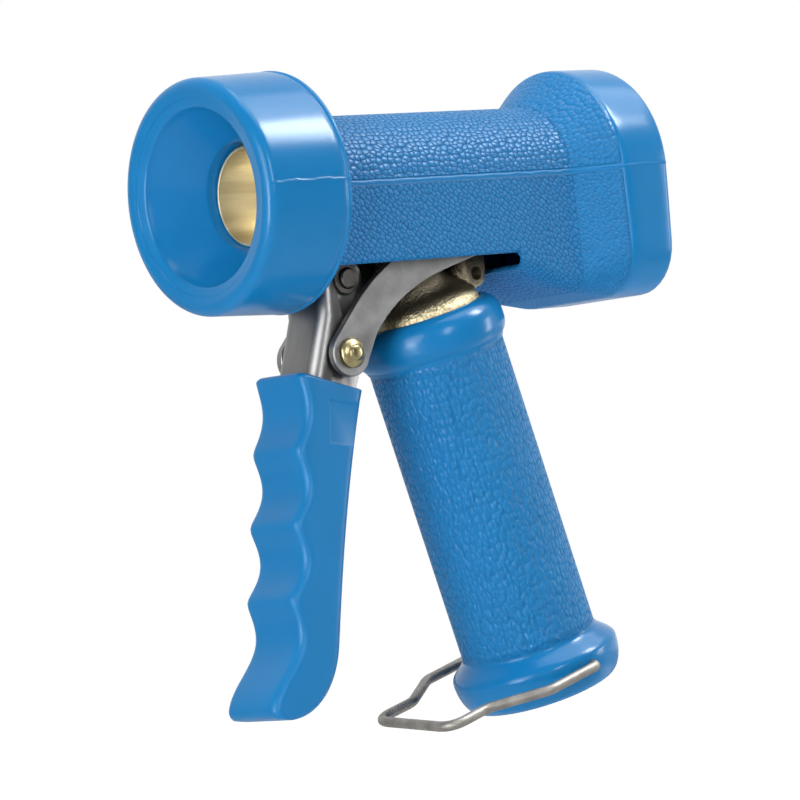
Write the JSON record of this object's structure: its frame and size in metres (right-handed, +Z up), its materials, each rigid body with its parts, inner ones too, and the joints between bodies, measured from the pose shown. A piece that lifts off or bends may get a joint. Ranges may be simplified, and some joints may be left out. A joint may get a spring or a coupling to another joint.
{
  "type": "hose spray nozzle",
  "caption": "Pistol-grip water spray gun: rubber-covered brass valve body with a funnel mouth, finger-grooved trigger, link arms to a sliding valve, and a wire bail that locks the trigger.",
  "frame": {"origin": "centre of the hose inlet's mouth, in the foot of the handle", "axes": "+Z up along the gun's height, -X the way the gun sprays, +Y to the right of someone who sprays, the barrel's axis level along X"},
  "size_m": [0.1548, 0.068, 0.1892],
  "materials": {
    "cover_rubber": "satin blue moulded rubber, pebbled on the barrel",
    "grip_rubber": "satin blue moulded rubber, fine leather grain on the grip",
    "trigger_plastic": "smooth blue moulded plastic",
    "turned_brass": "turned, fine lathe lines",
    "cast_brass": "rough cast, tarnished",
    "bright_steel": "polished stainless",
    "satin_steel": "satin stainless",
    "dull_steel": "dull grey",
    "wire_steel": "drawn stainless wire",
    "black_rubber": "matt black"
  },
  "bodies": {
    "gun": {"barrel_cover": "cover_rubber", "handle_grip": "grip_rubber", "nozzle_tip": "turned_brass", "valve_body": "cast_brass", "handle_pipe": "turned_brass", "inlet_socket": "turned_brass", "hose_washer": "black_rubber", "fulcrum_pin": "dull_steel", "fulcrum_clip_left": "dull_steel", "fulcrum_clip_right": "dull_steel", "stem_packing": "black_rubber", "gland_nut": "turned_brass", "return_spring": "wire_steel"},
    "trigger": {"trigger_lever": "bright_steel", "trigger_grip": "trigger_plastic"},
    "link": {"link_arm_left": "satin_steel", "link_arm_right": "satin_steel", "link_rivet": "turned_brass"},
    "valve_stem": {"spindle": "bright_steel", "poppet": "turned_brass", "poppet_seal": "black_rubber", "crosshead": "cast_brass", "crosshead_clip_left": "dull_steel", "crosshead_clip_right": "dull_steel", "spindle_nut_front": "dull_steel", "spindle_nut_rear": "dull_steel"},
    "bail": {"latch_bail": "wire_steel"}
  },
  "joints": [
    {"name": "trigger_pull", "type": "hinge", "parent": "gun", "child": "trigger", "pos_m": [-0.06485, 0, 0.1235], "axis": [0, -1, 0], "range_deg": [0, 29], "stiffness_Nm_per_rad": 0.7, "springref_deg": -13.18},
    {"name": "link_swing", "type": "hinge", "parent": "trigger", "child": "link", "pos_m": [-0.06825, 0, 0.1024], "axis": [0, -1, 0], "range_deg": [-29.6, 0]},
    {"name": "spindle_slide", "type": "slide", "parent": "gun", "child": "valve_stem", "axis": [1, 0, 0], "range_m": [0, 0.0111], "deforming": ["return_spring"]},
    {"name": "bail_swing", "type": "hinge", "parent": "gun", "child": "bail", "pos_m": [-0.00234, 0, 0.00879], "axis": [0, 0.9965, 0.0837], "range_deg": [-40, 21]}
  ],
  "couplings": [
    {"joint": "link_swing", "follows": "trigger_pull", "ratio": -1.0133},
    {"joint": "spindle_slide", "follows": "trigger_pull", "m_per_rad": 0.02162}
  ]
}
